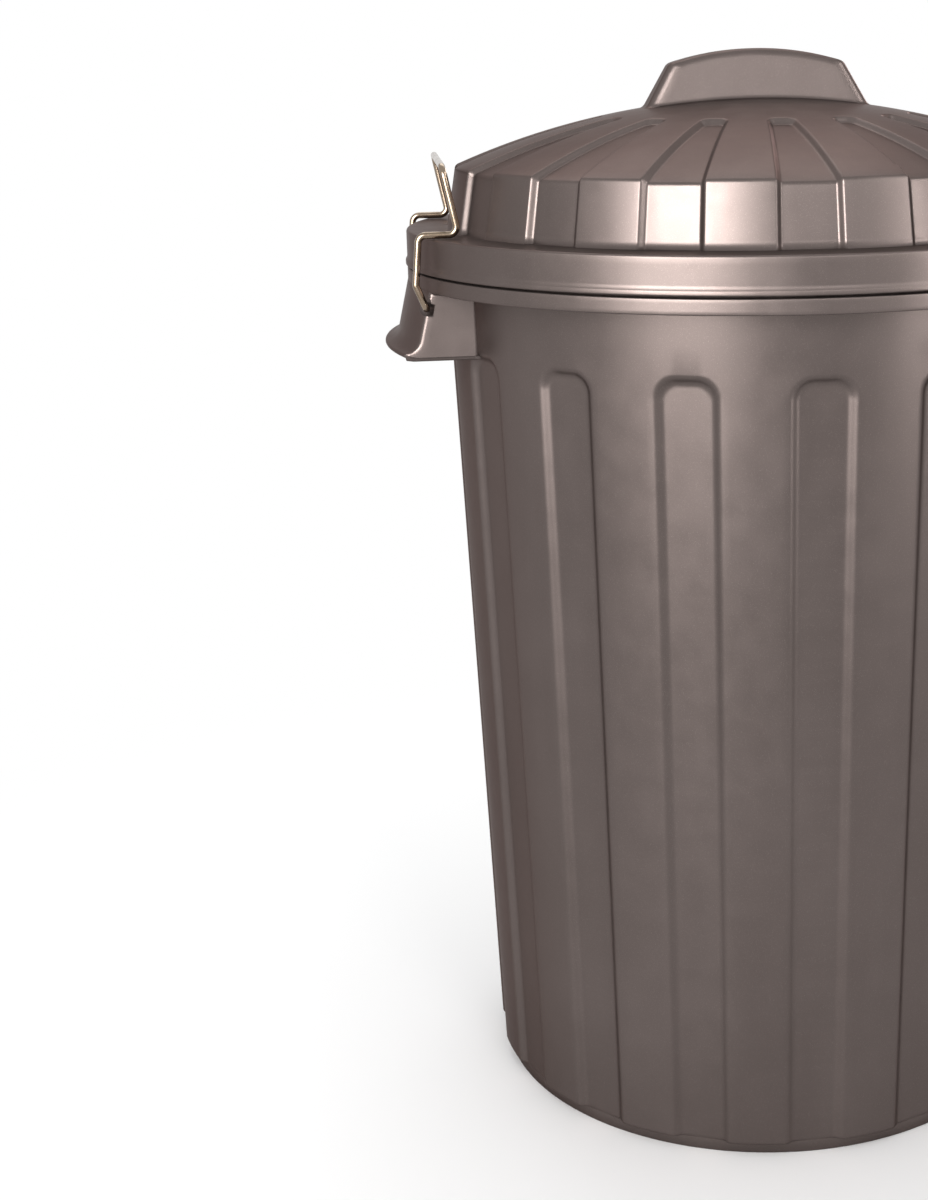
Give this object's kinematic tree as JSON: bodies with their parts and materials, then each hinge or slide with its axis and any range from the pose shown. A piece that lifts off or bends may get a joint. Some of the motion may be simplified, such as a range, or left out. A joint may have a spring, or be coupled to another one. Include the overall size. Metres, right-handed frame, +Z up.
{
  "type": "trash can",
  "caption": "Round tapered plastic trash can with fluted walls, a lift-off domed lid with a moulded grip, carrying brackets and swinging wire clips that hold the lid shut.",
  "frame": {"origin": "middle of the foot ring, on the floor", "axes": "+Z up; the carrying brackets, the wire clips and the lid's grip lie along X, with the left ones towards -X; the picture is taken from the -Y side"},
  "size_m": [0.568, 0.5323, 0.788],
  "materials": {
    "bin_body": "satin metallic-effect taupe",
    "lid": "satin metallic-effect taupe",
    "clip_wire": "bright zinc plated"
  },
  "bodies": {
    "bin": {"bin_body": "bin_body"},
    "lid": {"lid": "lid"},
    "left_clip": {"left_wire_clip": "clip_wire"},
    "right_clip": {"right_wire_clip": "clip_wire"}
  },
  "joints": [
    {"name": "lid_lift", "type": "slide", "parent": "bin", "child": "lid", "axis": [0, 0, 1], "range_m": [0, 0.5]},
    {"name": "left_clip_swing", "type": "hinge", "parent": "bin", "child": "left_clip", "pos_m": [-0.254, 0, 0.61], "axis": [0, -1, 0], "range_deg": [0, 180]},
    {"name": "right_clip_swing", "type": "hinge", "parent": "bin", "child": "right_clip", "pos_m": [0.254, 0, 0.61], "axis": [0, 1, 0], "range_deg": [0, 180]}
  ]
}
